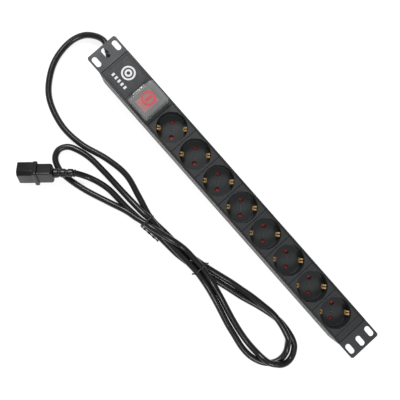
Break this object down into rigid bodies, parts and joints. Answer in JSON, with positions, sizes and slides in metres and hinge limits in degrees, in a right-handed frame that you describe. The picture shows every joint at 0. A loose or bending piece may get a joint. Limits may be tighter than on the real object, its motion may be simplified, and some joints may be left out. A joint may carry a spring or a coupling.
{
  "type": "rack power strip",
  "caption": "Rack-mount power strip: slim channel with a row of round earthed sockets, a covered rocker switch, slotted ears and a tied mains lead with an inlet-type plug.",
  "frame": {"origin": "centre of the channel's underside, the face that the strip lies on", "axes": "+X along the strip towards the plain end (the lead leaves at -X), +Y across it, away from the tied lead, +Z out of the socket faces"},
  "size_m": [0.5289, 0.2063, 0.0564],
  "materials": {
    "black_aluminium": "black anodised extrusion",
    "black_steel": "satin powder coat",
    "zinc_steel": "zinc plated",
    "black_plastic": "fine moulded grain",
    "white_plastic": "moulded",
    "red_plastic": "moulded, slightly translucent",
    "clear_plastic": "clear moulded plastic",
    "brass": "stamped brass",
    "black_rubber": "flexible PVC sheath"
  },
  "bodies": {
    "strip": {"housing_channel": "black_aluminium", "ear_left": "black_steel", "ear_right": "black_steel", "screw_left_front": "zinc_steel", "screw_left_rear": "zinc_steel", "screw_right_front": "zinc_steel", "screw_right_rear": "zinc_steel", "label_plate": "black_plastic", "switch_bezel": "black_plastic", "cover_hinge_pin": "zinc_steel", "switch_body": "black_plastic", "switch_terminal_live_in": "brass", "switch_terminal_live_out": "brass", "switch_terminal_neutral_in": "brass", "switch_terminal_neutral_out": "brass", "socket_module_1": "black_plastic", "earth_clip_1": "brass", "socket_module_2": "black_plastic", "earth_clip_2": "brass", "socket_module_3": "black_plastic", "earth_clip_3": "brass", "socket_module_4": "black_plastic", "earth_clip_4": "brass", "socket_module_5": "black_plastic", "earth_clip_5": "brass", "socket_module_6": "black_plastic", "earth_clip_6": "brass", "socket_module_7": "black_plastic", "earth_clip_7": "brass", "socket_module_8": "black_plastic", "earth_clip_8": "brass", "live_busbar": "brass", "neutral_busbar": "brass", "earth_rail": "brass", "insulating_strip": "white_plastic", "end_filler": "black_plastic", "cable_gland": "black_rubber", "gland_strain_relief": "black_rubber", "live_wire": "black_rubber", "neutral_wire": "black_rubber", "earth_wire": "black_rubber", "mains_lead": "black_rubber", "tie_near_plug": "black_rubber", "tie_near_loop": "black_rubber", "plug_body": "black_rubber", "plug_pin_live": "zinc_steel", "plug_pin_neutral": "zinc_steel", "plug_pin_earth": "zinc_steel", "plug_strain_relief": "black_rubber"},
    "rocker": {"rocker": "red_plastic"},
    "switch_cover": {"switch_cover": "clear_plastic"},
    "shutter_1": {"shutter_1": "red_plastic"},
    "shutter_2": {"shutter_2": "red_plastic"},
    "shutter_3": {"shutter_3": "red_plastic"},
    "shutter_4": {"shutter_4": "red_plastic"},
    "shutter_5": {"shutter_5": "red_plastic"},
    "shutter_6": {"shutter_6": "red_plastic"},
    "shutter_7": {"shutter_7": "red_plastic"},
    "shutter_8": {"shutter_8": "red_plastic"}
  },
  "joints": [
    {"name": "rocker_tilt", "type": "hinge", "parent": "strip", "child": "rocker", "pos_m": [-0.155, 0, 0.04], "axis": [-1, 0, 0], "range_deg": [0, 24]},
    {"name": "cover_hinge", "type": "hinge", "parent": "strip", "child": "switch_cover", "pos_m": [-0.172, 0, 0.046], "axis": [0, -1, 0], "range_deg": [0, 100]},
    {"name": "shutter_1_turn", "type": "hinge", "parent": "strip", "child": "shutter_1", "pos_m": [-0.1122, 0, 0.023], "axis": [0, 0, 1], "range_deg": [0, 36], "stiffness_Nm_per_rad": 0.004},
    {"name": "shutter_2_turn", "type": "hinge", "parent": "strip", "child": "shutter_2", "pos_m": [-0.0695, 0, 0.023], "axis": [0, 0, 1], "range_deg": [0, 36], "stiffness_Nm_per_rad": 0.004},
    {"name": "shutter_3_turn", "type": "hinge", "parent": "strip", "child": "shutter_3", "pos_m": [-0.0268, 0, 0.023], "axis": [0, 0, 1], "range_deg": [0, 36], "stiffness_Nm_per_rad": 0.004},
    {"name": "shutter_4_turn", "type": "hinge", "parent": "strip", "child": "shutter_4", "pos_m": [0.0159, 0, 0.023], "axis": [0, 0, 1], "range_deg": [0, 36], "stiffness_Nm_per_rad": 0.004},
    {"name": "shutter_5_turn", "type": "hinge", "parent": "strip", "child": "shutter_5", "pos_m": [0.0586, 0, 0.023], "axis": [0, 0, 1], "range_deg": [0, 36], "stiffness_Nm_per_rad": 0.004},
    {"name": "shutter_6_turn", "type": "hinge", "parent": "strip", "child": "shutter_6", "pos_m": [0.1013, 0, 0.023], "axis": [0, 0, 1], "range_deg": [0, 36], "stiffness_Nm_per_rad": 0.004},
    {"name": "shutter_7_turn", "type": "hinge", "parent": "strip", "child": "shutter_7", "pos_m": [0.144, 0, 0.023], "axis": [0, 0, 1], "range_deg": [0, 36], "stiffness_Nm_per_rad": 0.004},
    {"name": "shutter_8_turn", "type": "hinge", "parent": "strip", "child": "shutter_8", "pos_m": [0.1867, 0, 0.023], "axis": [0, 0, 1], "range_deg": [0, 36], "stiffness_Nm_per_rad": 0.004}
  ]
}
